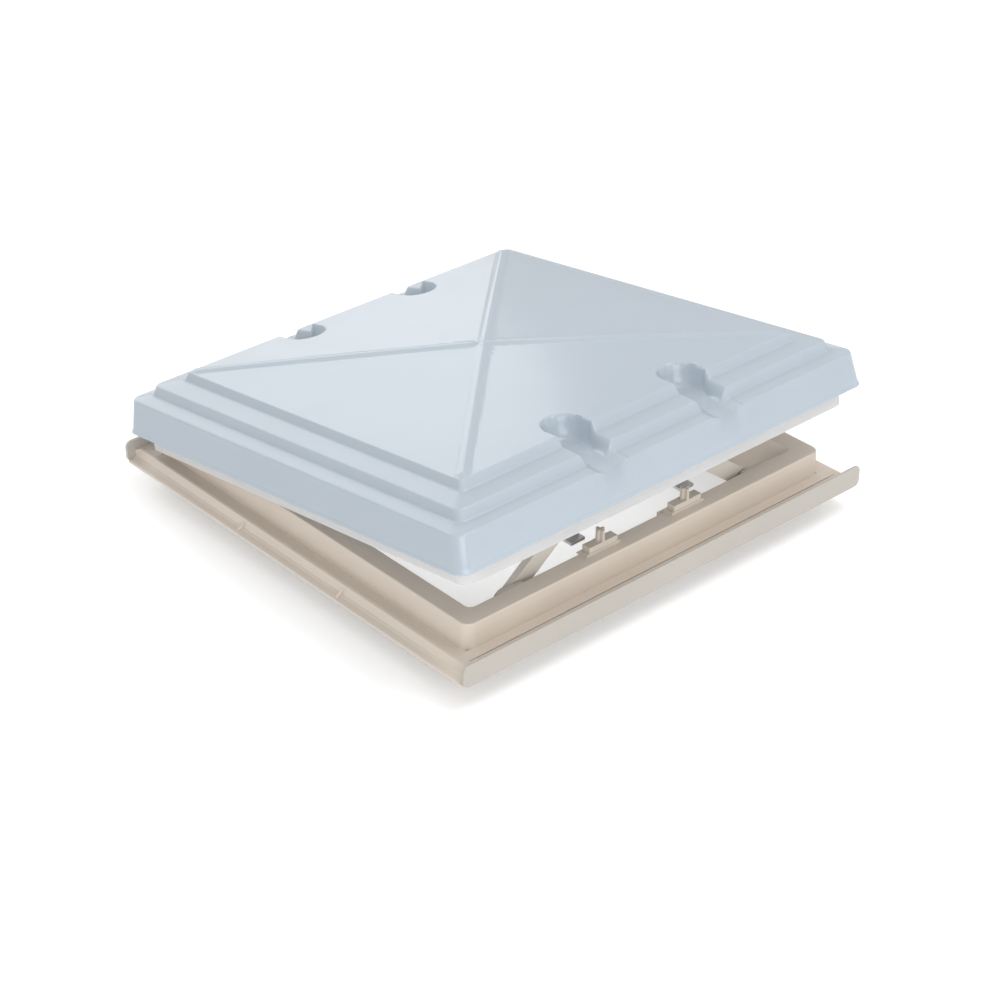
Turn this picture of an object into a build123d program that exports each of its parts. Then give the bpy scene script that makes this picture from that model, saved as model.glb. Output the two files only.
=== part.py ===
from build123d import *
import math
import os

os.makedirs("parts", exist_ok=True)

# Axes: X along the opening edge, Y from the front (-) to the rear (+), Z up.
# Heights called "over roof" are added to the roof plane; the spigot hangs below it.

# Roof frame
opening = 388.0
spigot_wall = 4.0
spigot_depth = 24.0
collar_deep = 20.4
collar_height = 36.0
collar_draft = 1.7
collar_wall = 3.0
collar_radius = 10.0
foot_height = 2.0
foot_thick = 2.5
foot_lip = 3.6
foot_inner_lip = 8.4
flange_wide = 22.4
flange_top = 12.0
flange_thick = 3.0
skirt_thick = 2.8
opening_radius = 6.0
rib_thick = 2.2
rib_pitch = 85.0
drip_groove = 1.4
groove_back = 11.6

# Trim strips
strip_thick = 3.0
strip_height = 21.4
strip_gap = 0.2
strip_radius = 6.0
hook_pitch = 100.0
hook_wide = 16.0
hook_long = 5.7
hook_short = 3.3

spigot_out = opening + 2 * spigot_wall
roof = spigot_depth
wall_y = opening / 2
collar_half = wall_y + collar_deep
collar_size = 2 * collar_half
flange_half = collar_half + flange_wide
strip_in = flange_half + strip_gap
frame_half = strip_in + strip_thick
frame_size = 2 * frame_half
rim = roof + collar_height

# Running clearances
fit_gap = 0.03
face_gap = 0.1
tongue_gap = 0.1
slot_gap = 0.3
cam_gap = 0.12

# Channel section of the left and right sides
side_top = 11.0
ridge_back = 10.8
ridge_rise = 1.4
valley_back = 5.4
valley_top = 5.4
lip_back = 0.4
lip_top = 2.5
side_sheet = 3.8
gusset_y = 70.5
gusset_thick = 3.0

# Dome, in its own axes: Z = 0 at the lower edge of its skirt
dome_wall = 3.0
dome_over = 1.8
skirt_lean = 5.0
skirt_top_z = 32.2
low_ledge = 13.6
step_in_z = 34.5
low_riser = 3.5
mid_out_z = 44.2
high_ledge = 19.5
mid_in_z = 46.5
high_riser = 4.3
top_z = 54.8
apex_z = 63.85
skirt_low_radius = 12.0
skirt_radius = 10.0
step_radius = 8.0
mid_out_radius = 7.0
mid_in_radius = 5.0
top_radius = 2.5
bead_radius = 6.0
bead_sink = 4.4
well_floor = 32.0
well_radius = 20.0
well_x = 68.0
well_back = 12.7
bump_back = 19.1
bump_radius = 21.5
skirt_low = flange_half + dome_over
skirt_top = skirt_low - skirt_lean
step_in = skirt_top - low_ledge
mid_out = step_in - low_riser
mid_in = mid_out - high_ledge
top_half = mid_in - high_riser
well_grown = well_radius + dome_wall
well_end_y = top_half - well_back
bump_y = skirt_top - bump_back

# Inner skin and seal
skin_wall = 2.5
skin_low_z = -17.8
skin_back = 12.6
skin_top_z = 29.0
rib_back = 2.4
rib_wall = 2.4
rib_radius = 9.0
rib_low_z = 0.0
seal_lip = 1.6
seal_wide = 5.0
seal_low_z = -8.0
seal_high_z = 6.0
skin_half = skirt_low - skin_back
rib_out = collar_half - rib_back
rib_in = rib_out - rib_wall
seal_out = rib_out + seal_lip
seal_in = seal_out - seal_wide

# Opening mechanism
tilt = 8.62
dome_setback = 0.57
hinge_inset = 18.0
hinge_closed = 38.2
hinge_local_z = -5.0
pin_radius = 2.5
strut_inset = 47.0
strut_z = 18.0
strut_angle = 37.3
strut_width = 17.0
strut_thick = 7.0
strut_hub = 11.0
strut_gap_in = 13.0
pivot_radius = 3.0
cam_radius = 4.0
bracket_x = 66.0
overrun = 12.0
hinge_y = wall_y - hinge_inset
span = 2 * hinge_y
lift = span * math.tan(math.radians(tilt))
strut_x = wall_y - strut_inset
strut_in = wall_y - strut_gap_in
strut_out = strut_in + strut_thick
strut_length = lift / math.sin(math.radians(strut_angle))
cam_drop = hinge_closed - strut_z

# Rails
rail_half = 106.0
web_thick = 4.0
shelf_low = -8.0
shelf_high = -5.0
shelf_inner_lip = 6.0
shelf_outer_lip = 9.5
tab_low = -49.4
tab_half = 8.0
foot_out_lip = 8.0
lug_radius = 5.5
lug_thick = 4.0
tongue_thick = 9.8
web_in = hinge_y
web_out = web_in + web_thick
web_low = -cam_drop - 12.0
shelf_in = web_in - shelf_inner_lip
shelf_out = web_out + shelf_outer_lip

# Brackets and catch blocks on the inside of the front and rear walls
plate_thick = 4.0
catch_plate = 3.5
catch_drop = 12.0
catch_x = 51.0
catch_half = 19.5
catch_deep = 10.0
catch_thick = 3.0
post_half = 4.5
post_web = 3.0
post_tall = 19.6
post_back = 5.1
shoulder_half = 16.5
shoulder_deep = 8.8
shoulder_tall = 8.5

# Slide bolts
bolt_tall = 6.0
bolt_deep = 7.0
bolt_throw = 14.0
bolt_back = 8.5
bolt_base = hinge_closed + tab_low + 3.0 + face_gap
bolt_y = wall_y - bolt_back

# Fasteners
screw_radius = 1.75
screw_head = 3.3
head_thick = 1.8
trim_boss = 4.6
trim_pilot = 1.6
trim_depth = 15.0
trim_screw_x = 110.0
trim_screw_y = wall_y - 4.0
screw_spread = 12.0

mirror_x = Plane.YZ
mirror_y = Plane.XZ

# Screw positions on the front wall for the strut brackets and the catch blocks
strut_screws = [(strut_x - 9.5, 30.0), (strut_x + 9.5, 7.5)]
catch_screws_at = [(catch_x - 20, 27.0), (catch_x + 9.5, 27.0)]


def ring(outer, inner, outer_radius, inner_radius):
    RectangleRounded(outer, outer, outer_radius)
    RectangleRounded(inner, inner, inner_radius, mode=Mode.SUBTRACT)


# Roof frame: hollow collar, spigot, flange with its side channels
with BuildPart() as roof_frame:
    with BuildSketch(Plane.XY.offset(roof + foot_height)):
        RectangleRounded(collar_size, collar_size, collar_radius)
    extrude(amount=collar_height - foot_height, taper=collar_draft)
    with BuildSketch(Plane.XY.offset(roof + foot_height)):
        hollow = collar_size - 2 * collar_wall
        RectangleRounded(hollow, hollow, collar_radius - 2.5)
    hollow_height = collar_height - foot_height - collar_wall
    extrude(amount=hollow_height, taper=collar_draft, mode=Mode.SUBTRACT)
    with BuildSketch(Plane.XY):
        RectangleRounded(spigot_out, spigot_out, opening_radius + spigot_wall)
    extrude(amount=roof + collar_height - collar_wall / 2)
    # Webs between the spigot and the collar
    web_from = spigot_out / 2 - 1
    web_to = collar_half - collar_wall / 2
    web_xs = [0] + [side * x for side in (-1, 1) for x in (rib_pitch, trim_screw_x + 8, 2 * rib_pitch)]
    with BuildSketch(Plane.XY.offset(roof + foot_height)):
        for turn in (0, 90, 180, 270):
            with Locations(Location((0, 0), turn)):
                with Locations([(x, (web_from + web_to) / 2) for x in web_xs]):
                    Rectangle(rib_thick, web_to - web_from)
    extrude(amount=collar_height - foot_height - collar_wall / 2)
    # Foot that presses the sealing strip
    with BuildSketch(Plane.XY.offset(roof + foot_height)):
        ring(collar_size + 2 * foot_lip, spigot_out + 2 * foot_inner_lip, collar_radius + 2, 8)
    extrude(amount=foot_thick)
    # Front and rear flanges with a turned-down edge
    flange_from = collar_half - collar_wall / 2
    ridge_x = flange_half - ridge_back
    valley_x = flange_half - valley_back
    lip_x = frame_half - lip_back
    flange_mid = (flange_half + flange_from) / 2
    with BuildSketch(Plane.XY.offset(roof + flange_top - flange_thick)):
        with Locations((0, flange_mid), (0, -flange_mid)):
            Rectangle(2 * ridge_x + 2, flange_half - flange_from)
    extrude(amount=flange_thick)
    with BuildSketch(Plane.XY.offset(roof + foot_height)):
        edge_y = flange_half - skirt_thick / 2
        with Locations((0, edge_y), (0, -edge_y)):
            Rectangle(2 * valley_x + 1, skirt_thick)
    extrude(amount=flange_top - foot_height)
    with BuildSketch(Plane.XY.offset(roof + foot_height)):
        rib_xs = [rib_pitch * i for i in range(-2, 3)]
        rib_to = flange_half - skirt_thick / 2
        with Locations([(x, side * (flange_from + rib_to) / 2) for x in rib_xs for side in (-1, 1)]):
            Rectangle(rib_thick, rib_to - flange_from)
    extrude(amount=flange_top - foot_height - 1)
    # Drip groove beside the trim strips
    with BuildSketch(Plane.XY.offset(roof + flange_top - drip_groove)):
        groove_y = flange_half - groove_back
        with Locations((0, groove_y), (0, -groove_y)):
            Rectangle(2 * ridge_x - 8, drip_groove)
    extrude(amount=2 * drip_groove, mode=Mode.SUBTRACT)
    # Side channels
    ridge_z = side_top + ridge_rise
    side_section = [
        (flange_from, side_top), (ridge_x - 8.5, side_top), (ridge_x - 4, side_top + 0.6),
        (ridge_x, ridge_z), (ridge_x + 2.2, ridge_z - 0.4), (valley_x, valley_top),
        (valley_x + 2.6, valley_top - 1.3), (lip_x - 1, lip_top + 0.6), (lip_x, lip_top),
        (lip_x, lip_top - 1.8), (valley_x + 1, lip_top - 1.5), (valley_x - 1.8, lip_top - 0.1),
        (ridge_x + 0.8, ridge_z - side_sheet), (ridge_x - 4, side_top - side_sheet + 1),
        (flange_from, side_top - flange_thick),
    ]
    for side in (1, -1):
        with BuildSketch(Plane.XZ.offset(-flange_half)):
            with BuildLine():
                Polyline([(side * x, roof + z) for x, z in side_section], close=True)
            make_face()
        extrude(amount=2 * flange_half)
        for y in (-gusset_y, gusset_y):
            with BuildSketch(Plane.XZ.offset(y - gusset_thick / 2)):
                with BuildLine():
                    Polyline([(side * (ridge_x + 1.5), roof + side_top + 0.4),
                              (side * (lip_x - 2.2), roof + lip_top + 0.7),
                              (side * (valley_x - 0.4), roof + lip_top + 1.3)], close=True)
                make_face()
            extrude(amount=gusset_thick)
    # Screw bosses behind the front and rear walls
    for x, z in strut_screws + catch_screws_at:
        for sx in (-1, 1):
            for sy in (-1, 1):
                with Locations(Location((sx * x, sy * (wall_y + 7), roof + z), (90, 0, 0))):
                    Cylinder(4.2, 12)
    # Bosses for the inside trim frame, opening downwards
    boss_depth = trim_depth + 3
    trim_points = [(sx * trim_screw_x, sy * trim_screw_y) for sx in (-1, 1) for sy in (-1, 1)]
    trim_points += [(y, x) for x, y in trim_points]
    with BuildSketch(Plane.XY):
        with Locations(trim_points):
            Circle(trim_boss)
    extrude(amount=boss_depth)
    # The opening itself
    with BuildSketch(Plane.XY):
        RectangleRounded(opening, opening, opening_radius)
        with Locations(trim_points):
            Circle(trim_boss, mode=Mode.SUBTRACT)
    extrude(amount=boss_depth, mode=Mode.SUBTRACT)
    with BuildSketch(Plane.XY.offset(boss_depth)):
        RectangleRounded(opening, opening, opening_radius)
    extrude(amount=rim, mode=Mode.SUBTRACT)
    # Pilot holes
    with BuildSketch(Plane.XY):
        with Locations(trim_points):
            Circle(trim_pilot)
    extrude(amount=trim_depth, mode=Mode.SUBTRACT)
    for x, z in strut_screws + catch_screws_at:
        for sx in (-1, 1):
            for sy in (-1, 1):
                with Locations(Location((sx * x, sy * (wall_y + 5), roof + z), (90, 0, 0))):
                    Cylinder(screw_radius + fit_gap, 12, mode=Mode.SUBTRACT)
    for sx in (-1, 1):
        for sy in (-1, 1):
            with Locations(Location((sx * strut_x, sy * (wall_y + 2), roof + strut_z), (90, 0, 0))):
                Cylinder(pivot_radius + fit_gap, 12, mode=Mode.SUBTRACT)
    # Softened upper edges of the collar
    fillet(roof_frame.edges().filter_by(lambda e: abs(e.center().Z - rim) < 0.01), 1.2)

roof_frame.part.label = "roof_frame"
export_step(roof_frame.part, "parts/roof_frame.step")

# Front trim strip with its snap hooks
with BuildPart() as front_trim_strip:
    with BuildSketch(Plane.XZ.offset(frame_half)):
        with Locations((0, roof + strip_height / 2)):
            RectangleRounded(frame_size, strip_height, strip_radius)
    extrude(amount=-strip_thick)
    hook_xs = [hook_pitch * i for i in range(-2, 3)]
    for low, high, long in ((flange_top, flange_top + 2, hook_long), (0.3, foot_height, hook_short)):
        with BuildSketch(Plane.XY.offset(roof + low)):
            with Locations([(x, -(strip_in + face_gap - (long + face_gap) / 2)) for x in hook_xs]):
                Rectangle(hook_wide, long + face_gap)
        extrude(amount=high - low)

front_trim_strip.part.label = "front_trim_strip"
export_step(front_trim_strip.part, "parts/front_trim_strip.step")

rear_trim_strip = mirror(front_trim_strip.part, about=mirror_y)
rear_trim_strip.label = "rear_trim_strip"
export_step(rear_trim_strip, "parts/rear_trim_strip.step")

# Sealing strip between the foot and the roof skin
with BuildPart() as flange_gasket:
    with BuildSketch(Plane.XY.offset(roof)):
        ring(collar_size + 2 * foot_lip + 2, spigot_out + 8, collar_radius + 4, 10)
    extrude(amount=foot_height)

flange_gasket.part.label = "flange_gasket"
export_step(flange_gasket.part, "parts/flange_gasket.step")

# Strut bracket, drawn for the front right corner
with BuildPart() as strut_bracket:
    with BuildSketch(Plane.XZ.offset(wall_y)):
        with Locations((strut_x, roof + 19)):
            RectangleRounded(30, 32, 3)
    extrude(amount=-plate_thick)
    # Raised seat round the pivot, as far as the strut
    hub_deep = wall_y - plate_thick - strut_out - 0.1
    with Locations(Location((strut_x, -(strut_out + 0.1 + hub_deep / 2), roof + strut_z), (90, 0, 0))):
        Cylinder(7, hub_deep)
    with Locations(Location((strut_x, -wall_y, roof + strut_z), (90, 0, 0))):
        Cylinder(pivot_radius + fit_gap, 20, mode=Mode.SUBTRACT)
    for x, z in strut_screws:
        with Locations(Location((x, -wall_y, roof + z), (90, 0, 0))):
            Cylinder(screw_radius + 0.2, 20, mode=Mode.SUBTRACT)
        with Locations(Location((x, -(wall_y - plate_thick), roof + z), (90, 0, 0))):
            Cylinder(screw_head + 0.2, 4.4, mode=Mode.SUBTRACT)

# Catch block with its cross-shaped post and bolt guide, front right
with BuildPart() as catch_block:
    with BuildSketch(Plane.YZ.offset(catch_x - catch_half)):
        with BuildLine():
            Polyline([(-(wall_y + catch_deep), rim), (-(wall_y + catch_deep), rim + catch_thick),
                      (-wall_y, rim + catch_thick), (-(wall_y - catch_plate), rim),
                      (-(wall_y - catch_plate), rim - 1), (-wall_y, rim - 1), (-wall_y, rim)], close=True)
        make_face()
    extrude(amount=2 * catch_half)
    with BuildSketch(Plane.XZ.offset(wall_y)):
        with Locations((catch_x - 5, roof + (collar_height - catch_drop) / 2)):
            Rectangle(40, collar_height + catch_drop)
    extrude(amount=-catch_plate)
    with BuildSketch(Plane.XY.offset(rim)):
        with Locations((catch_x, -(wall_y + post_back))):
            Rectangle(2 * post_half, post_web)
            Rectangle(post_web, 2 * post_half)
    extrude(amount=post_tall, taper=0.8)
    # Low shoulders on both sides of the post
    with Locations((catch_x, -(wall_y + post_back), rim + shoulder_tall / 2)):
        Box(2 * shoulder_half, shoulder_deep, shoulder_tall)
    # Guide for the sliding bolt
    guide_z = roof + bolt_base + bolt_tall / 2
    with Locations((42, -bolt_y, guide_z - 0.5)):
        Box(28, 11.0, 11.4)
    with Locations((46, -bolt_y, guide_z)):
        Box(60, bolt_deep + 0.1, bolt_tall + 0.1, mode=Mode.SUBTRACT)
    with Locations((42, -bolt_y, roof + bolt_base - 4)):
        Box(10.3 + bolt_throw, 5.2, 8, mode=Mode.SUBTRACT)
    for x, z in catch_screws_at:
        with Locations(Location((x, -wall_y, roof + z), (90, 0, 0))):
            Cylinder(screw_radius + 0.2, 20, mode=Mode.SUBTRACT)
        with Locations(Location((x, -(wall_y - plate_thick), roof + z), (90, 0, 0))):
            Cylinder(screw_head + 0.2, 4.4, mode=Mode.SUBTRACT)

# Sliding bolt of a front corner, drawn back
with BuildPart() as slide_bolt:
    with Locations((43.2, -bolt_y, guide_z)):
        Box(26.4, bolt_deep, bolt_tall)
    with Locations((35, -bolt_y, roof + bolt_base - 3.5)):
        Box(10, 5, 8)
    fillet(slide_bolt.edges().filter_by(Axis.Z).group_by(Axis.X)[-1], 1.5)
    fillet(slide_bolt.edges().filter_by(Axis.X).group_by(Axis.Z)[0], 1.2)

corners = [("front_right", 1, 1), ("front_left", -1, 1), ("rear_right", 1, -1), ("rear_left", -1, -1)]


def corner_copy(shape, sx, sy):
    copied = shape
    if sx < 0:
        copied = mirror(copied, about=mirror_x)
    if sy < 0:
        copied = mirror(copied, about=mirror_y)
    return copied


# The rear rail is latched, so the rear bolts stand over its feet
for name, sx, sy in corners:
    bolt_shift = 0.0 if sy > 0 else bolt_throw
    for base, master in (("strut_bracket", strut_bracket.part), ("catch_block", catch_block.part),
                         ("slide_bolt", Pos(bolt_shift, 0, 0) * slide_bolt.part)):
        piece = corner_copy(master, sx, sy)
        piece.label = base + "_" + name
        export_step(piece, "parts/" + piece.label + ".step")

# Screws that hold the strut brackets and the catch blocks
head_y = wall_y - plate_thick + 2.2 - head_thick / 2
with BuildPart() as strut_bracket_screws:
    for sx in (-1, 1):
        for sy in (-1, 1):
            for x, z in strut_screws:
                with Locations(Location((sx * x, sy * (head_y + 5.2), roof + z), (90, 0, 0))):
                    Cylinder(screw_radius, 13)
                with Locations(Location((sx * x, sy * head_y, roof + z), (90, 0, 0))):
                    Cylinder(screw_head, head_thick)

strut_bracket_screws.part.label = "strut_bracket_screws"
export_step(strut_bracket_screws.part, "parts/strut_bracket_screws.step")

with BuildPart() as catch_block_screws:
    for sx in (-1, 1):
        for sy in (-1, 1):
            for x, z in catch_screws_at:
                with Locations(Location((sx * x, sy * (head_y + 6.2), roof + z), (90, 0, 0))):
                    Cylinder(screw_radius, 11)
                with Locations(Location((sx * x, sy * head_y, roof + z), (90, 0, 0))):
                    Cylinder(screw_head, head_thick)

catch_block_screws.part.label = "catch_block_screws"
export_step(catch_block_screws.part, "parts/catch_block_screws.step")

# Pivot pins of the struts and the friction washers under their heads
washer_thick = 0.8
with BuildPart() as strut_pivot_pins:
    for sx in (-1, 1):
        for sy in (-1, 1):
            with Locations(Location((sx * strut_x, sy * (wall_y - 3.9), roof + strut_z), (90, 0, 0))):
                Cylinder(pivot_radius, 19.8)
            with Locations(Location((sx * strut_x, sy * (strut_in - washer_thick - 1.2), roof + strut_z),
                                    (90, 0, 0))):
                Cylinder(6, 2.4)

strut_pivot_pins.part.label = "strut_pivot_pins"
export_step(strut_pivot_pins.part, "parts/strut_pivot_pins.step")

with BuildPart() as friction_washers:
    for sx in (-1, 1):
        for sy in (-1, 1):
            with Locations(Location((sx * strut_x, sy * (strut_in - washer_thick / 2), roof + strut_z),
                                    (90, 0, 0))):
                Cylinder(9, washer_thick)
                Cylinder(pivot_radius + fit_gap, washer_thick, mode=Mode.SUBTRACT)

friction_washers.part.label = "friction_washers"
export_step(friction_washers.part, "parts/friction_washers.step")

# Strut, pivot at the origin, lying along -X
with BuildPart() as strut:
    with BuildSketch(Plane.XZ):
        with Locations((-strut_length / 2, 0)):
            SlotCenterToCenter(strut_length, strut_width)
        Circle(strut_hub)
        Circle(pivot_radius + fit_gap, mode=Mode.SUBTRACT)
        with Locations((-strut_length, 0)):
            Circle(cam_radius + fit_gap, mode=Mode.SUBTRACT)
    extrude(amount=strut_thick)
    # Lightening recess in the inner face
    with BuildSketch(Plane.XZ):
        with Locations((-strut_length / 2, 0)):
            SlotCenterToCenter(strut_length - 36, 9)
    extrude(amount=2, mode=Mode.SUBTRACT)
    # Spacer round the upper hole
    with BuildSketch(Plane.XZ.offset(-0.9)):
        with Locations((-strut_length, 0)):
            Circle(7)
            Circle(cam_radius + fit_gap, mode=Mode.SUBTRACT)
    extrude(amount=0.9)

# Upper strut pin, its flat head inside the rail
with BuildPart() as strut_pin:
    with Locations(Location((-strut_length, -0.25, 0), (90, 0, 0))):
        Cylinder(cam_radius, 14.3)
    with Locations(Location((-strut_length, 6.7, 0), (90, 0, 0))):
        Cylinder(6.8, 3)


for name, sx, sy in corners:
    angle = strut_angle if sy > 0 else 0.0
    seat = Pos(strut_x, -strut_in, roof + strut_z) * Rot(0, angle, 0)
    for base, master in (("strut", strut), ("strut_pin", strut_pin)):
        piece = corner_copy(seat * master.part, sx, sy)
        piece.label = base + "_" + name
        export_step(piece, "parts/" + piece.label + ".step")

# Path of the upper strut pin in the rail, seen from the rail
turn_rate = math.radians(strut_angle) / lift
cam_path = []
cam_steps = 12
for i in range(cam_steps + 1):
    rise = (lift + overrun) * i / cam_steps
    theta = turn_rate * rise
    cam_path.append((strut_x - strut_length * math.cos(theta),
                     strut_length * math.sin(theta) - rise - cam_drop))

# Lift rail, Z = 0 on the hinge axis
with BuildPart() as lift_rail:
    with BuildSketch(Plane.XZ.offset(web_in)):
        with Locations((0, (web_low + shelf_high) / 2)):
            RectangleRounded(2 * rail_half, shelf_high - web_low, 2.5)
        with Locations((bracket_x, (tab_low + web_low) / 2 + 2), (-bracket_x, (tab_low + web_low) / 2 + 2)):
            Rectangle(2 * tab_half, web_low - tab_low + 4)
    extrude(amount=web_out - web_in)
    with BuildSketch(Plane.XY.offset(shelf_low)):
        with Locations((0, -(shelf_in + shelf_out) / 2)):
            Rectangle(2 * rail_half, shelf_out - shelf_in)
    extrude(amount=shelf_high - shelf_low)
    # Feet that the bolts slide over
    foot_out = web_out + foot_out_lip
    with Locations((bracket_x, -(web_in + foot_out) / 2, tab_low + 1.5),
                   (-bracket_x, -(web_in + foot_out) / 2, tab_low + 1.5)):
        Box(2 * tab_half, foot_out - web_in, 3)
    # Grip along the lower edge
    with Locations((0, -(web_in - 3), web_low + 1.5)):
        Box(84, 14, 3)
    # Lugs for the hinge pins
    lug_centre = (tongue_thick + lug_thick) / 2 + tongue_gap
    for sx in (-1, 1):
        for dx in (-lug_centre, lug_centre):
            with BuildSketch(Plane.YZ.offset(sx * bracket_x + dx - lug_thick / 2)):
                with Locations((-hinge_y, 0)):
                    Circle(lug_radius)
                with Locations((-hinge_y, -3)):
                    Rectangle(2 * lug_radius, 6)
            extrude(amount=lug_thick)
    # Room for the tongue, open through the shelf because the rear one slides as the dome tilts
    with Locations((bracket_x, -(shelf_in + shelf_out) / 2, -5), (-bracket_x, -(shelf_in + shelf_out) / 2, -5)):
        Box(tongue_thick + 2 * tongue_gap, shelf_out - shelf_in + 2, 2 * lug_radius - 3.6, mode=Mode.SUBTRACT)
    with Locations(Location((0, -hinge_y, 0), (0, 90, 0))):
        Cylinder(pin_radius + fit_gap, 2 * rail_half, mode=Mode.SUBTRACT)
    # Cam slots for the strut pins
    with BuildSketch(Plane.XZ.offset(web_in - 6)):
        for sx in (-1, 1):
            for (x0, z0), (x1, z1) in zip(cam_path[:-1], cam_path[1:]):
                step = math.hypot(x1 - x0, z1 - z0)
                heading = math.degrees(math.atan2(z1 - z0, sx * (x1 - x0)))
                with Locations(Location((sx * (x0 + x1) / 2, (z0 + z1) / 2), heading)):
                    SlotCenterToCenter(step, 2 * (cam_radius + cam_gap))
    extrude(amount=20, mode=Mode.SUBTRACT)

front_rail = Pos(0, 0, roof + hinge_closed + lift) * lift_rail.part
front_rail.label = "front_rail"
export_step(front_rail, "parts/front_rail.step")

rear_rail = mirror(Pos(0, 0, roof + hinge_closed) * lift_rail.part, about=mirror_y)
rear_rail.label = "rear_rail"
export_step(rear_rail, "parts/rear_rail.step")

# Hinge pins
with BuildPart() as hinge_pins:
    for sx in (-1, 1):
        with Locations(Location((sx * bracket_x, -hinge_y, 0), (0, 90, 0))):
            Cylinder(pin_radius, 21)
        with Locations(Location((sx * (bracket_x + 11.6), -hinge_y, 0), (0, 90, 0))):
            Cylinder(4.2, 2.4)

front_hinge_pins = Pos(0, 0, roof + hinge_closed + lift) * hinge_pins.part
front_hinge_pins.label = "front_hinge_pins"
export_step(front_hinge_pins, "parts/front_hinge_pins.step")

rear_hinge_pins = mirror(Pos(0, 0, roof + hinge_closed) * hinge_pins.part, about=mirror_y)
rear_hinge_pins.label = "rear_hinge_pins"
export_step(rear_hinge_pins, "parts/rear_hinge_pins.step")

# Where the dome sits: tilted about X, its front hinge axis on the front rail
slope = math.radians(tilt)
front_local = -hinge_y - hinge_local_z * math.sin(slope) + dome_setback
front_local = front_local / math.cos(slope)
dome_y = -hinge_y - front_local * math.cos(slope) - hinge_local_z * math.sin(slope)
dome_z = (hinge_closed + lift + front_local * math.sin(slope)
          - hinge_local_z * math.cos(slope))
dome_seat = Pos(0, dome_y, roof + dome_z) * Rot(-tilt, 0, 0)
rear_open = front_local + span / math.cos(slope)
rear_shut = front_local + span
rear_most = front_local + math.hypot(span, lift + overrun)
dome_screw_y = hinge_y + 5
boss_points = [(sx * bracket_x + dx, sy * dome_screw_y)
               for sx in (-1, 1) for sy in (-1, 1) for dx in (-screw_spread, screw_spread)]

outer_steps = [
    (skirt_low, 0.0, skirt_low_radius), (skirt_top, skirt_top_z, skirt_radius),
    (step_in, step_in_z, step_radius), (mid_out, mid_out_z, mid_out_radius),
    (mid_in, mid_in_z, mid_in_radius), (top_half, top_z, top_radius),
]
inner_steps = [
    (skirt_low - dome_wall, -1.0, skirt_low_radius - dome_wall),
    (skirt_top - dome_wall, skirt_top_z - dome_wall, skirt_radius - dome_wall),
]
upper_steps = [
    (step_in - dome_wall, skirt_top_z - dome_wall, step_radius),
    (mid_out - dome_wall, mid_out_z - dome_wall, mid_out_radius),
]
crown_steps = [
    (mid_in - dome_wall, mid_out_z - dome_wall, mid_in_radius),
    (top_half - dome_wall, top_z - dome_wall, top_radius),
]


def section_faces(steps):
    faces = []
    for half, z, radius in steps:
        with BuildSketch(Plane.XY.offset(z)) as section:
            RectangleRounded(2 * half, 2 * half, radius)
        faces.append(section.sketch.faces()[0])
    return faces


def well_faces(radius, low):
    with BuildSketch(Plane.XY.offset(low)) as plan:
        for sx in (-1, 1):
            for sy in (-1, 1):
                with Locations((sx * well_x, sy * well_end_y)):
                    Circle(radius)
                with Locations((sx * well_x, sy * (well_end_y + 35))):
                    Rectangle(2 * radius, 70)
    return plan.sketch.faces()


# Air space inside the dome
with BuildPart() as dome_space:
    loft(section_faces(inner_steps), ruled=True)
with BuildPart() as dome_space_mid:
    loft(section_faces(upper_steps), ruled=True)
with BuildPart() as dome_space_top:
    loft(section_faces(crown_steps), ruled=True)
with BuildPart() as dome_space_peak:
    with BuildSketch(Plane.XY.offset(top_z - dome_wall)):
        Rectangle(2 * (top_half - dome_wall) - 2, 2 * (top_half - dome_wall) - 2)
    with BuildSketch(Plane.XY.offset(apex_z - dome_wall)):
        Rectangle(6, 6)
    loft(ruled=True)
with BuildPart() as well_blocks:
    extrude(well_faces(well_grown, skirt_top_z - dome_wall), amount=50)
air_space = dome_space_mid.part + dome_space_top.part + dome_space_peak.part - well_blocks.part
skirt_space = dome_space.part

# Outer dome: three stepped tiers, a low pyramid crown with diagonal beads, four scallops
with BuildPart() as outer_dome:
    loft(section_faces(outer_steps), ruled=True)
    with BuildSketch(Plane.XY.offset(top_z)):
        Rectangle(2 * top_half - 1.6, 2 * top_half - 1.6)
    with BuildSketch(Plane.XY.offset(apex_z)):
        Rectangle(6, 6)
    loft(ruled=True)
    slope_drop = apex_z - top_z
    reach = (top_half - bead_radius) * math.sqrt(2)
    bead_angle = math.degrees(math.atan2(slope_drop, top_half * math.sqrt(2)))
    for turn in (45, 135, 225, 315):
        heading = Location((0, 0, apex_z - bead_sink), (0, 0, turn)) * Location((0, 0, 0), (0, 90 + bead_angle, 0))
        with Locations(heading):
            Cylinder(bead_radius, reach, align=(Align.CENTER, Align.CENTER, Align.MIN))
    with BuildSketch(Plane.XY.offset(skirt_top_z - 8)):
        with Locations([(sx * well_x, sy * bump_y) for sx in (-1, 1) for sy in (-1, 1)]):
            Circle(bump_radius)
    extrude(amount=8)
    extrude(well_faces(well_radius, well_floor), amount=50, mode=Mode.SUBTRACT)
    add(skirt_space, mode=Mode.SUBTRACT)
    add(air_space, mode=Mode.SUBTRACT)
    # Screw bosses under the scallop floors
    with BuildSketch(Plane.XY.offset(skin_top_z - skin_wall)):
        with Locations(boss_points):
            Circle(5)
    extrude(amount=skin_wall + 0.5)
    with BuildSketch(Plane.XY.offset(skin_top_z - skin_wall)):
        with Locations(boss_points):
            Circle(screw_radius + fit_gap)
    extrude(amount=4.3, mode=Mode.SUBTRACT)

outer_shell = dome_seat * outer_dome.part
outer_shell.label = "outer_dome"
export_step(outer_shell, "parts/outer_dome.step")

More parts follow.
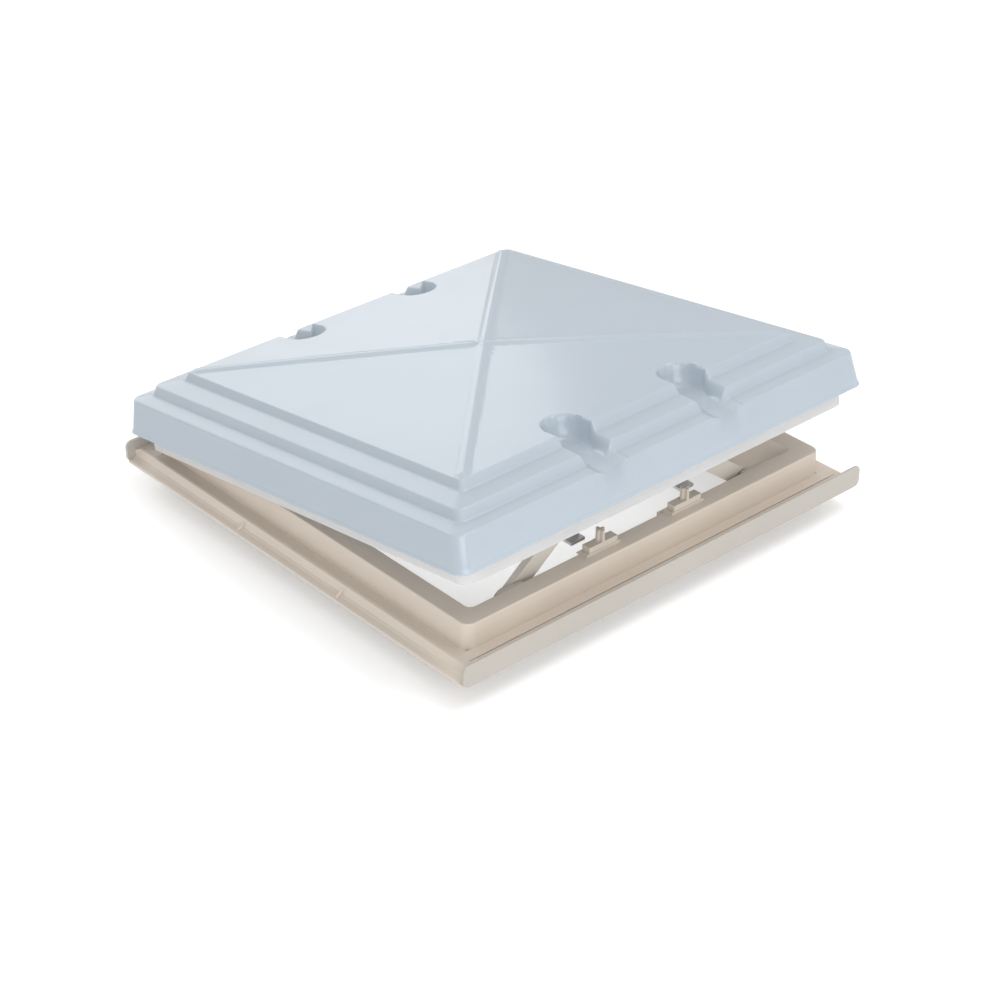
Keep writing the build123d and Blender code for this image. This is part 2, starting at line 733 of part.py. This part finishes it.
# Inner skin: a shallow pan
with BuildPart() as inner_skin:
    skin_height = skin_top_z - skin_low_z
    with BuildSketch(Plane.XY.offset(skin_low_z)):
        RectangleRounded(2 * skin_half, 2 * skin_half, skirt_low_radius)
    extrude(amount=skin_height, taper=1.2)
    with BuildSketch(Plane.XY.offset(skin_low_z)):
        inside = 2 * (skin_half - skin_wall)
        RectangleRounded(inside, inside, skirt_low_radius - skin_wall)
    extrude(amount=skin_height - skin_wall, taper=1.2, mode=Mode.SUBTRACT)
    with BuildSketch(Plane.XY.offset(skin_top_z - 2 * skin_wall)):
        with Locations(boss_points):
            Circle(5.05)
    extrude(amount=20, mode=Mode.SUBTRACT)

inner_pan = dome_seat * inner_skin.part
inner_pan.label = "inner_skin"
export_step(inner_pan, "parts/inner_skin.step")

# Channel bonded under the pan, which holds the seal
with BuildPart() as seal_channel:
    with BuildSketch(Plane.XY.offset(rib_low_z)):
        ring(2 * rib_out, 2 * rib_in, rib_radius, rib_radius - rib_wall)
    extrude(amount=skin_top_z - skin_wall - rib_low_z)

channel_ring = dome_seat * seal_channel.part
channel_ring.label = "seal_channel"
export_step(channel_ring, "parts/seal_channel.step")

# Seal, pressed flat where the tilted dome rests on the rear of the collar
with BuildPart() as dome_seal:
    with BuildSketch(Plane.XY.offset(seal_low_z)):
        ring(2 * seal_out, 2 * seal_in, 11, 11 - seal_wide)
    extrude(amount=seal_high_z - seal_low_z)
    with BuildSketch(Plane.XY.offset(rib_low_z)):
        ring(2 * rib_out, 2 * rib_in, rib_radius, rib_radius - rib_wall)
    extrude(amount=10, mode=Mode.SUBTRACT)
    soft = dome_seal.edges().group_by(Axis.Z)[0]
    fillet(soft, 2.4)

pressed_away = Pos(0, 0, rim - 30) * Box(2 * frame_size, 2 * frame_size, 60)
seal_ring = dome_seat * dome_seal.part - pressed_away
seal_ring.label = "dome_seal"
export_step(seal_ring, "parts/dome_seal.step")


# Dome bracket of the front, with a round hole
pad_mid = skin_top_z - skin_wall - 2.5
with BuildPart() as front_dome_bracket:
    with BuildSketch(Plane.XY.offset(skin_top_z - skin_wall - 3)):
        with Locations((bracket_x, -dome_screw_y)):
            RectangleRounded(38, 20, 4)
    extrude(amount=3)
    with BuildSketch(Plane.YZ.offset(bracket_x - tongue_thick / 2)):
        with BuildLine():
            Polyline([(-(dome_screw_y + 7), pad_mid), (-(dome_screw_y - 9), pad_mid),
                      (front_local + lug_radius, hinge_local_z),
                      (front_local - lug_radius, hinge_local_z)], close=True)
        make_face()
    extrude(amount=tongue_thick)
    with Locations(Location((bracket_x, front_local, hinge_local_z), (0, 90, 0))):
        Cylinder(lug_radius, tongue_thick)
        Cylinder(pin_radius + fit_gap, 40, mode=Mode.SUBTRACT)
    with Locations((bracket_x - screw_spread, -dome_screw_y, 20), (bracket_x + screw_spread, -dome_screw_y, 20)):
        Cylinder(screw_radius + 0.2, 30, mode=Mode.SUBTRACT)

# Dome bracket of the rear, with a slot that takes up the change of span
with BuildPart() as rear_dome_bracket:
    slot_from = rear_shut - slot_gap
    slot_to = rear_most + slot_gap
    with BuildSketch(Plane.XY.offset(skin_top_z - skin_wall - 3)):
        with Locations((bracket_x, dome_screw_y)):
            RectangleRounded(38, 20, 4)
    extrude(amount=3)
    with BuildSketch(Plane.YZ.offset(bracket_x - tongue_thick / 2)):
        with BuildLine():
            Polyline([(dome_screw_y + 9, pad_mid), (dome_screw_y - 9, pad_mid),
                      (slot_from - lug_radius, hinge_local_z),
                      (slot_to + lug_radius, hinge_local_z)], close=True)
        make_face()
        with Locations((slot_from, hinge_local_z), (slot_to, hinge_local_z)):
            Circle(lug_radius)
        with Locations(((slot_from + slot_to) / 2, hinge_local_z)):
            Rectangle(slot_to - slot_from, 2 * lug_radius)
            SlotCenterToCenter(slot_to - slot_from, 2 * (pin_radius + slot_gap), mode=Mode.SUBTRACT)
    extrude(amount=tongue_thick)
    with Locations((bracket_x - screw_spread, dome_screw_y, 20), (bracket_x + screw_spread, dome_screw_y, 20)):
        Cylinder(screw_radius + 0.2, 30, mode=Mode.SUBTRACT)

for name, master, sx in (("front_right", front_dome_bracket, 1), ("front_left", front_dome_bracket, -1),
                         ("rear_right", rear_dome_bracket, 1), ("rear_left", rear_dome_bracket, -1)):
    piece = dome_seat * corner_copy(master.part, sx, 1)
    piece.label = "dome_bracket_" + name
    export_step(piece, "parts/" + piece.label + ".step")

# Screws from below into the dome bosses
with BuildPart() as dome_screws:
    with Locations([(x, y, skin_top_z - skin_wall + 0.3) for x, y in boss_points]):
        Cylinder(screw_radius, 7.4)
    with Locations([(x, y, skin_top_z - skin_wall - 4) for x, y in boss_points]):
        Cylinder(screw_head, 2)

screws_in_dome = dome_seat * dome_screws.part
screws_in_dome.label = "dome_screws"
export_step(screws_in_dome, "parts/dome_screws.step")
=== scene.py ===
import bpy, bmesh, math
from mathutils import Vector, Matrix


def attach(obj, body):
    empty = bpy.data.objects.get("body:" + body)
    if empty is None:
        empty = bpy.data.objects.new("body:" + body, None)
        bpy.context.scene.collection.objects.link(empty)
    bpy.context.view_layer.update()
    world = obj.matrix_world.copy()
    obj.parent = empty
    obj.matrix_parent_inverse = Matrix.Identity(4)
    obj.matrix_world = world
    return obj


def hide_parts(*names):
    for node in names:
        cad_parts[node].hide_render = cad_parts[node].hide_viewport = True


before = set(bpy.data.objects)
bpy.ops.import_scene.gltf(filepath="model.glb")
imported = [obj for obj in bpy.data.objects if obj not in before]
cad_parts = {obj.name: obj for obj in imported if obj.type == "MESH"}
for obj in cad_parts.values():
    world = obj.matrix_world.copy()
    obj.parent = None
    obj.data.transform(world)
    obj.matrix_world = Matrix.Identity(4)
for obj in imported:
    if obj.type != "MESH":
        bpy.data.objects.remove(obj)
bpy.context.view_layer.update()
print("rooflight frame loaded")

mm = 0.001
roofLevel = 24.0          # roof skin over the spigot's lower edge, mm

# Camera, fitted to the photo; lengths in mm, nearClip in m, angles in degrees
view = dict(azimuth=-41.738, elevation=31.779, roll=0.121, distance=2211.35, lens=86.84,
            aim=(9.14, -58.86), lift=40.0, sensor=36, nearClip=0.05)


def placeCamera():
    a, e, r = (math.radians(view[k]) for k in ("azimuth", "elevation", "roll"))
    back = Vector((math.sin(a) * math.cos(e), -math.cos(a) * math.cos(e), math.sin(e)))
    level = Vector((math.cos(a), math.sin(a), 0))
    upright = back.cross(level)
    right = level * math.cos(r) + upright * math.sin(r)
    up = upright * math.cos(r) - level * math.sin(r)
    spot = Vector((0, 0, view["lift"] + roofLevel)) + right * view["aim"][0] + up * view["aim"][1]
    spot += back * view["distance"]
    camera = bpy.data.objects.new("photoCamera", bpy.data.cameras.new("photoCamera"))
    camera.data.lens = view["lens"]
    camera.data.sensor_width = view["sensor"]
    camera.data.clip_start = view["nearClip"]
    m = Matrix((right, up, back)).transposed().to_4x4()
    m.translation = spot * mm
    camera.matrix_world = m
    bpy.context.collection.objects.link(camera)
    bpy.context.scene.camera = camera


placeCamera()
bpy.context.scene.view_settings.view_transform = "Standard"

# Studio: white room, pale floor, soft lamps (name, spot, width and height, power in W), all in m
studio = dict(roomLight=0.72, seenRoom=1.0, floorColour=(0.80, 0.80, 0.80), floorGlow=0.25,
              floorTopUp=0.05, floorSize=12, floorDrop=0.0004, lampAim=(0, 0, 0.06),
              lamps=[("backPanel", (0.435, 2.747, 1.124), (3.3, 1.6), 23.0),
                     ("frontPanel", (-1.6, -2.9, 1.3), (2.4, 1.8), 41.0),
                     ("skyPanel", (0.7, -0.9, 3.0), (1.7, 1.7), 35.0),
                     ("edgeLight", (-0.55, 2.3, 2.1), (1.3, 0.35), 7.0)],
              throughDome=("throughDome", (0, -0.01, 0.085), (0.3, 0.3), 0.15))


def nodeLink(tree, a, b):
    tree.links.new(a, b)


def lightRoom():
    world = bpy.data.worlds.new("whiteRoom")
    bpy.context.scene.world = world
    world.use_nodes = True
    t = world.node_tree
    t.nodes.clear()
    out = t.nodes.new("ShaderNodeOutputWorld")
    mix = t.nodes.new("ShaderNodeMixShader")
    rays = t.nodes.new("ShaderNodeLightPath")
    nodeLink(t, rays.outputs["Is Camera Ray"], mix.inputs["Fac"])
    for slot, strength in ((1, studio["roomLight"]), (2, studio["seenRoom"])):
        white = t.nodes.new("ShaderNodeBackground")
        white.inputs["Color"].default_value = (1, 1, 1, 1)
        white.inputs["Strength"].default_value = strength
        nodeLink(t, white.outputs[0], mix.inputs[slot])
    nodeLink(t, mix.outputs[0], out.inputs["Surface"])


def layFloor():
    mat = bpy.data.materials.new("paleFloor")
    mat.use_nodes = True
    t = mat.node_tree
    t.nodes.clear()
    out = t.nodes.new("ShaderNodeOutputMaterial")
    add = t.nodes.new("ShaderNodeAddShader")
    matt = t.nodes.new("ShaderNodeBsdfDiffuse")
    matt.inputs["Color"].default_value = (*studio["floorColour"], 1)
    glow = t.nodes.new("ShaderNodeEmission")
    rays = t.nodes.new("ShaderNodeLightPath")
    strength = t.nodes.new("ShaderNodeMath")
    strength.operation = "MULTIPLY_ADD"
    strength.inputs[1].default_value = studio["floorTopUp"]
    strength.inputs[2].default_value = studio["floorGlow"]
    nodeLink(t, rays.outputs["Is Camera Ray"], strength.inputs[0])
    nodeLink(t, strength.outputs[0], glow.inputs["Strength"])
    nodeLink(t, matt.outputs[0], add.inputs[0])
    nodeLink(t, glow.outputs[0], add.inputs[1])
    nodeLink(t, add.outputs[0], out.inputs["Surface"])
    bpy.ops.mesh.primitive_plane_add(size=studio["floorSize"], location=(0, 0, -studio["floorDrop"]))
    floor = bpy.context.object
    floor.name = "paleFloor"
    floor.data.materials.append(mat)


def hangLamp(name, spot, size, power):
    lamp = bpy.data.lights.new(name, "AREA")
    lamp.shape = "RECTANGLE"
    lamp.size, lamp.size_y = size
    lamp.energy = power
    holder = bpy.data.objects.new(name, lamp)
    holder.location = spot
    bpy.context.collection.objects.link(holder)
    return holder


lightRoom()
layFloor()
for name, spot, size, power in studio["lamps"]:
    holder = hangLamp(name, spot, size, power)
    aim = Vector(studio["lampAim"]) - Vector(spot)
    holder.rotation_euler = aim.to_track_quat("-Z", "Y").to_euler()
# daylight that comes down through the milky dome into the opening
hangLamp(*studio["throughDome"]).visible_camera = False
print("studio ready")


# Materials
# the occlusion reach, samples and range set the painted shade in corners and crevices
texture = dict(cloudSize=14, cloudDetail=5, wornSize=45, wornDetail=6, fineDetail=3, low=0.3, high=0.7,
               lighter=0.6, shadeReach=0.012, shadeSamples=8, shadeFrom=0.25, shadeTo=0.85, bumpHeight=0.0002,
               coatRough=0.08)


def noise(t, where, size, detail):
    cloud = t.nodes.new("ShaderNodeTexNoise")
    cloud.inputs["Scale"].default_value = size
    cloud.inputs["Detail"].default_value = detail
    nodeLink(t, where.outputs["Object"], cloud.inputs["Vector"])
    return cloud.outputs["Fac"]


def spread(t, source, fromMin, fromMax, toMin, toMax):
    span = t.nodes.new("ShaderNodeMapRange")
    span.inputs["From Min"].default_value = fromMin
    span.inputs["From Max"].default_value = fromMax
    span.inputs["To Min"].default_value = toMin
    span.inputs["To Max"].default_value = toMax
    nodeLink(t, source, span.inputs["Value"])
    return span.outputs["Result"]


# painted shade: ambient occlusion darkens the colour towards a shade colour in corners, creases and gaps
# between parts
def paintCornerShade(t, base, cornerShade, cornerShadeColour):
    corner = t.nodes.new("ShaderNodeAmbientOcclusion")
    corner.inputs["Distance"].default_value = texture["shadeReach"]
    corner.samples = texture["shadeSamples"]
    blend = t.nodes.new("ShaderNodeMix")
    blend.data_type = "RGBA"
    blend.inputs["B"].default_value = (*cornerShadeColour, 1)
    depth = spread(t, corner.outputs["AO"], texture["shadeFrom"], texture["shadeTo"], cornerShade, 0.0)
    nodeLink(t, depth, blend.inputs["Factor"])
    nodeLink(t, base, blend.inputs["A"])
    return blend.outputs["Result"]


def mouldedPlastic(name, colour, mottle, rough, grain, roughSpread=0.06, grainSize=900, cornerShade=0.0,
                   cornerShadeColour=(0.42, 0.36, 0.31), coat=0.0, scuff=0.0, metal=0.0, opal=0.0):
    mat = bpy.data.materials.new(name)
    mat.use_nodes = True
    t = mat.node_tree
    skin = t.nodes["Principled BSDF"]
    skin.inputs["Metallic"].default_value = metal
    skin.inputs["Coat Weight"].default_value = coat
    skin.inputs["Coat Roughness"].default_value = texture["coatRough"]
    where = t.nodes.new("ShaderNodeTexCoord")
    ramp = t.nodes.new("ShaderNodeValToRGB")
    darker, lighter = ramp.color_ramp.elements
    darker.position = texture["low"]
    lighter.position = texture["high"]
    darker.color = (*[c * (1 - mottle) for c in colour], 1)
    lighter.color = (*[min(1, c * (1 + mottle * texture["lighter"])) for c in colour], 1)
    nodeLink(t, noise(t, where, texture["cloudSize"], texture["cloudDetail"]), ramp.inputs["Fac"])
    base = ramp.outputs["Color"]
    # painted shade darkens the corners and crevices
    if cornerShade > 0:
        base = paintCornerShade(t, base, cornerShade, cornerShadeColour)
    nodeLink(t, base, skin.inputs["Base Color"])
    worn = noise(t, where, texture["wornSize"], texture["wornDetail"])
    gloss = spread(t, worn, texture["low"], texture["high"],
                   rough - roughSpread, rough + roughSpread + scuff)
    nodeLink(t, gloss, skin.inputs["Roughness"])
    bump = t.nodes.new("ShaderNodeBump")
    bump.inputs["Strength"].default_value = grain
    bump.inputs["Distance"].default_value = texture["bumpHeight"]
    nodeLink(t, noise(t, where, grainSize, texture["fineDetail"]), bump.inputs["Height"])
    nodeLink(t, bump.outputs["Normal"], skin.inputs["Normal"])
    if opal > 0:
        # milky sheet: part of the light comes through from the other side
        through = t.nodes.new("ShaderNodeBsdfTranslucent")
        nodeLink(t, base, through.inputs["Color"])
        blend = t.nodes.new("ShaderNodeMixShader")
        blend.inputs["Fac"].default_value = opal
        nodeLink(t, skin.outputs[0], blend.inputs[1])
        nodeLink(t, through.outputs[0], blend.inputs[2])
        nodeLink(t, blend.outputs[0], t.nodes["Material Output"].inputs["Surface"])
    return mat


# painted shade: sandy colour and per-finish amount of the darkening in corners and crevices
sandCornerShade = (0.50, 0.43, 0.36)
finish = dict(
    dome=mouldedPlastic("domeGloss", (0.55, 0.62, 0.685), mottle=0.012, rough=0.19, roughSpread=0.03,
                        grain=0.04, grainSize=260, coat=0.3, opal=0.28),
    skin=mouldedPlastic("innerSkinSatin", (0.88, 0.88, 0.885), mottle=0.02, rough=0.40, grain=0.08,
                        cornerShade=0.05, cornerShadeColour=(0.30, 0.26, 0.22), opal=0.45),
    frame=mouldedPlastic("frameBeige", (0.655, 0.58, 0.50), mottle=0.03, rough=0.50, grain=0.3, cornerShade=0.08,
                         cornerShadeColour=sandCornerShade),
    trim=mouldedPlastic("stripBeige", (0.46, 0.43, 0.39), mottle=0.03, rough=0.46, grain=0.3, cornerShade=0.06,
                        cornerShadeColour=sandCornerShade),
    fitting=mouldedPlastic("fittingBeige", (0.60, 0.54, 0.47), mottle=0.05, rough=0.5, grain=0.4, cornerShade=0.2),
    strut=mouldedPlastic("strutBeige", (0.62, 0.58, 0.52), mottle=0.05, rough=0.48, grain=0.4, cornerShade=0.2),
    bolt=mouldedPlastic("boltBlack", (0.035, 0.035, 0.038), mottle=0.2, rough=0.35, grain=0.2),
    washer=mouldedPlastic("washerWhite", (0.75, 0.75, 0.72), mottle=0.03, rough=0.35, grain=0.1),
    rubber=mouldedPlastic("rubberBlack", (0.018, 0.018, 0.018), mottle=0.3, rough=0.72, grain=0.6,
                          scuff=0.08),
    steel=mouldedPlastic("zincSteel", (0.55, 0.55, 0.57), mottle=0.08, rough=0.32, roughSpread=0.1,
                         grain=0.15, metal=1.0),
    rail=mouldedPlastic("railAluminium", (0.62, 0.62, 0.63), mottle=0.05, rough=0.36, roughSpread=0.06,
                        grain=0.3, grainSize=1500, metal=1.0))
print("materials ready")


# Mesh helpers
def solidObject(name, verts, faces, mat, body):
    mesh = bpy.data.meshes.new(name)
    mesh.from_pydata([Vector(v) * mm for v in verts], [], faces)
    mesh.validate()
    bm = bmesh.new()
    bm.from_mesh(mesh)
    bmesh.ops.recalc_face_normals(bm, faces=bm.faces)
    bm.to_mesh(mesh)
    bm.free()
    mesh.materials.append(mat)
    mesh.shade_smooth()
    piece = bpy.data.objects.new(name, mesh)
    bpy.context.collection.objects.link(piece)
    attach(piece, body)
    return piece


# Edge rounding: weld distance in m, angles in degrees
softEdge = dict(weld=0.00001, flat=0.6, sharp=28, segments=2)


def roundedEdges(node, width, mat):
    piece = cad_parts[node]
    piece.data.materials.clear()
    piece.data.materials.append(mat)
    weld = piece.modifiers.new("weld", "WELD")
    weld.merge_threshold = softEdge["weld"]
    flat = piece.modifiers.new("flatten", "DECIMATE")
    flat.decimate_type = "DISSOLVE"
    flat.angle_limit = math.radians(softEdge["flat"])
    bevel = piece.modifiers.new("softEdges", "BEVEL")
    bevel.width = width * mm
    bevel.segments = softEdge["segments"]
    bevel.limit_method = "ANGLE"
    bevel.angle_limit = math.radians(softEdge["sharp"])


# Stations along a straight run: distances from the tip, and from the middle near a scallop's two rims
stations = dict(tip=[0.0, 1.2, 2.4, 3.6, 4.8, 6.0, 7.5, 9.5, 12.0], core=100.0, coreStep=20.0, outerSteps=6,
                middle=[0, 6, 12, 18, 24, 30, 36, 41, 44.5],
                innerRim=[46.4, 47.2, 47.7, 48.0, 48.4, 48.8, 49.2, 49.7, 50.4],
                wellFrom=51.4, wellStep=1.05, wellCount=33,
                outerRim=[85.6, 86.3, 86.8, 87.2, 87.6, 88.0, 88.3, 88.8, 89.6, 91.5, 95])


def straightStations(a, dense):
    # positions along one straight run of half length a, closer together where a scallop or a bead crosses
    s = stations
    if dense:
        well = [s["wellFrom"] + s["wellStep"] * i for i in range(s["wellCount"])]
        core = sorted(set(s["middle"] + s["innerRim"] + well + s["outerRim"] + [s["core"]]))
    else:
        core = [s["coreStep"] * i for i in range(int(s["core"] / s["coreStep"]) + 1)]
    spare = a - s["tip"][-1] - s["core"]
    outer = [s["core"] + spare * (i + 1) / s["outerSteps"] for i in range(s["outerSteps"] - 1)]
    half = core + outer + [a - e for e in reversed(s["tip"])]
    return [-x for x in reversed(half) if x > 0] + half


# Loops smaller than this are scaled copies of it, so that all loops have the same points
smallestLoop = 150.0
cornerSteps = 12


def squareLoop(h, r):
    # one closed loop round a rounded square, starting at the front left
    base = max(h, smallestLoop)
    k = h / base
    r = r / k
    a = base - r
    loop = []
    for side in range(4):
        turn = math.radians(90 * side)
        c, s = round(math.cos(turn)), round(math.sin(turn))
        points = [(x, -base) for x in straightStations(a, side % 2 == 0)]
        for i in range(1, cornerSteps):
            t = math.radians(-90 + 90 * i / cornerSteps)
            points.append((a + r * math.cos(t), -a + r * math.sin(t)))
        loop += [((x * c - y * s) * k, (x * s + y * c) * k) for x, y in points]
    return loop


filletShare = 0.45        # largest part of a line that one fillet takes
filletSteps = 4


def filletLine(points):
    # points: (half width, height, corner radius, fillet); returns a smooth line through them
    line = [points[0][:3]]
    for i in range(1, len(points) - 1):
        h, z, r, fillet = points[i]
        p = Vector((h, z, r))
        ends = []
        for other in (points[i - 1], points[i + 1]):
            away = Vector(other[:3]) - p
            length = Vector((away.x, away.y)).length
            ends.append(p + away * min(fillet, length * filletShare) / length)
        for j in range(filletSteps + 1):
            u = j / filletSteps
            q = ends[0] * (1 - u) ** 2 + p * 2 * u * (1 - u) + ends[1] * u * u
            line.append((q.x, q.y, q.z))
    line.append(points[-1][:3])
    return line


def loopFaces(rings):
    faces = []
    count = len(rings[0])
    for i in range(len(rings) - 1):
        a, b = i * count, (i + 1) * count
        for j in range(count):
            k = (j + 1) % count
            faces.append((a + j, a + k, b + k, b + j))
    return faces


def clamp(v):
    return min(1.0, max(0.0, v))


# Dome seat at rest: tilt about X, shift and lift
domeSeat = dict(tilt=8.62, y=-0.57, z=70.022)


def seatDome(p):
    t = math.radians(domeSeat["tilt"])
    x, y, z = p
    return (x, y * math.cos(t) + z * math.sin(t) + domeSeat["y"],
            -y * math.sin(t) + z * math.cos(t) + domeSeat["z"] + roofLevel)


# Dome in its own axes, mm; each step: half width, height, corner radius, fillet
dome = dict(steps=[(192.7, 54.8, 3.0, 1.2), (197.0, 46.6, 5, 1.8), (216.5, 44.2, 7.5, 1.6),
                   (219.8, 34.6, 8, 1.8), (233.6, 32.2, 10, 1.9), (238.0, 3.6, 12, 1.4),
                   (239.2, 0.9, 12.6, 0.6), (239.2, 0.0, 12.6, 0.3), (236.2, 0.0, 10, 0.3),
                   (235.2, 4.0, 9.5, 1.0), (230.6, 28.6, 7, 0)],
            uncarved=17)

# Crown and its diagonal beads
crown = dict(half=192.7, low=54.8, high=63.55, swell=0.18, edge=191.4, edgeRadius=2.9,
             bead=6.5, beadRise=1.9, beadArc=12.07, beadStop=2.5, beadFade=5.0,
             peak=[2.0, 6.0, 10.0], wideFrom=15.0, wideStep=8.0, wideCount=17,
             fineFrom=191.85, fineStep=1.15, fineCount=35, radius=1.2, radiusGain=1.6, radiusFrom=150.0)

# Scallops: plan outline, sloping floor, wall and rim
well = dict(x=68.0, radius=20.0, y=180.0, backFloor=36.0, mouthFloor=29.5, slideFrom=165.0, slideRun=66.0,
            wallRun=8.5, wallCurve=2.8, rimRound=1.6, tierRound=11.0, tierFrom=188.0, tierRun=18.0,
            reach=2.5, below=1.5, snap=0.45, snapSide=15.0)

# Lip of the skirt under each scallop
lip = dict(low=22.0, high=34.0, half=27.0, beyond=200.0, out=2.5, rise=4.0)


def crownHeight(x, y):
    m = max(abs(x), abs(y)) / crown["half"]
    z = crown["low"] + (crown["high"] - crown["low"]) * (1 - m) * (1 + crown["swell"] * m)
    d = abs(abs(x) - abs(y)) / math.sqrt(2)
    fade = clamp((crown["half"] - crown["beadStop"] - min(abs(x), abs(y))) / crown["beadFade"])
    if d < crown["bead"]:
        z += (math.sqrt(crown["beadArc"] ** 2 - d * d) - crown["beadArc"] + crown["beadRise"]) * fade
    return z


def wellDepthAt(x, y):
    # signed distance into the scallop's plan outline, positive inside
    u, v = abs(x) - well["x"], abs(y) - well["y"]
    if v >= 0:
        return well["radius"] - abs(u)
    return well["radius"] - math.hypot(u, v)


def carveWell(x, y, z):
    d = wellDepthAt(x, y)
    if d < -well["reach"] or z <= well["mouthFloor"] - well["below"]:
        return x, y, z
    u, v = abs(x) - well["x"], min(0.0, abs(y) - well["y"])
    size = math.hypot(u, v) or 1.0
    if abs(d) < well["snap"] and (v < 0 or abs(u) > well["snapSide"]):
        # pull the nearest points onto the rim
        x += math.copysign(1, x) * u / size * d
        y += math.copysign(1, y) * v / size * d
        d = 0.0
    # the rim is crisp in the crown and grows softer across the tiers
    softer = clamp((abs(y) - well["tierFrom"]) / well["tierRun"])
    edge = clamp(d / (well["rimRound"] + well["tierRound"] * softer))
    hollow = 1 - (1 - clamp(d / well["wallRun"])) ** well["wallCurve"]
    w = hollow * edge * edge * (3 - 2 * edge)
    slide = clamp((abs(y) - well["slideFrom"]) / well["slideRun"])
    floor = well["backFloor"] + (well["mouthFloor"] - well["backFloor"]) * slide
    return x, y, z * (1 - w) + min(z, floor) * w


def lipPush(x, y, z):
    u = abs(abs(x) - well["x"]) / lip["half"]
    if u >= 1 or abs(y) <= lip["beyond"] or not lip["low"] < z < lip["high"]:
        return 0.0
    return math.copysign(lip["out"] * (1 - u * u) ** 2 * clamp((z - lip["low"]) / lip["rise"]), y)


def buildDome():
    rings = []
    fine = [crown["fineFrom"] - crown["fineStep"] * i for i in range(crown["fineCount"])]
    wide = [crown["wideFrom"] + crown["wideStep"] * i for i in range(crown["wideCount"])]
    for h in crown["peak"] + wide + [f for f in reversed(fine) if f < crown["edge"]]:
        gain = max(0.0, (h - crown["radiusFrom"]) / (crown["half"] - crown["radiusFrom"]))
        rings.append([(x, y, crownHeight(x, y))
                      for x, y in squareLoop(h, crown["radius"] + crown["radiusGain"] * gain)])
    start = (crown["edge"], crownHeight(crown["edge"], 0), crown["edgeRadius"], 0)
    for h, z, r in filletLine([start] + dome["steps"]):
        rings.append([(x, y + lipPush(x, y, z), z) for x, y in squareLoop(h, r)])
    # the last rings line the inside of the skirt
    carved = len(rings) - dome["uncarved"]
    verts = []
    for i, ring in enumerate(rings):
        verts += [seatDome(carveWell(*p) if i < carved else p) for p in ring]
    faces = loopFaces(rings)
    count = len(rings[0])
    centre = len(verts)
    verts.append(seatDome((0, 0, crown["high"] + crown["beadRise"])))
    faces += [(centre, j, (j + 1) % count) for j in range(count)]
    piece = solidObject("domeShell", verts, faces, finish["dome"], "dome")
    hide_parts("outer_dome")


buildDome()
print("dome ready")

# Carried-over pieces: rounding in mm and finish
dressing = dict(roof_frame=(0.8, "frame"), front_trim_strip=(0.9, "trim"), rear_trim_strip=(0.9, "trim"),
                inner_skin=(0.5, "skin"), seal_channel=(0.4, "skin"), flange_gasket=(0.4, "rubber"),
                dome_seal=(0.4, "rubber"), strut_bracket_screws=(0.3, "steel"),
                catch_block_screws=(0.3, "steel"), strut_pivot_pins=(0.3, "steel"),
                dome_screws=(0.3, "steel"), front_hinge_pins=(0.3, "steel"),
                rear_hinge_pins=(0.3, "steel"), friction_washers=(0.1, "washer"),
                front_rail=(0.4, "rail"), rear_rail=(0.4, "rail"))
cornerDressing = dict(strut_bracket=(0.6, "fitting"), catch_block=(0.35, "fitting"),
                      slide_bolt=(0.3, "bolt"), dome_bracket=(0.5, "fitting"), strut=(0.7, "strut"),
                      strut_pin=(0.4, "steel"))
for name, look in cornerDressing.items():
    for corner in ("front_right", "front_left", "rear_right", "rear_left"):
        dressing[name + "_" + corner] = look
for name, (width, look) in dressing.items():
    roundedEdges(name, width, finish[look])
print("fittings dressed")
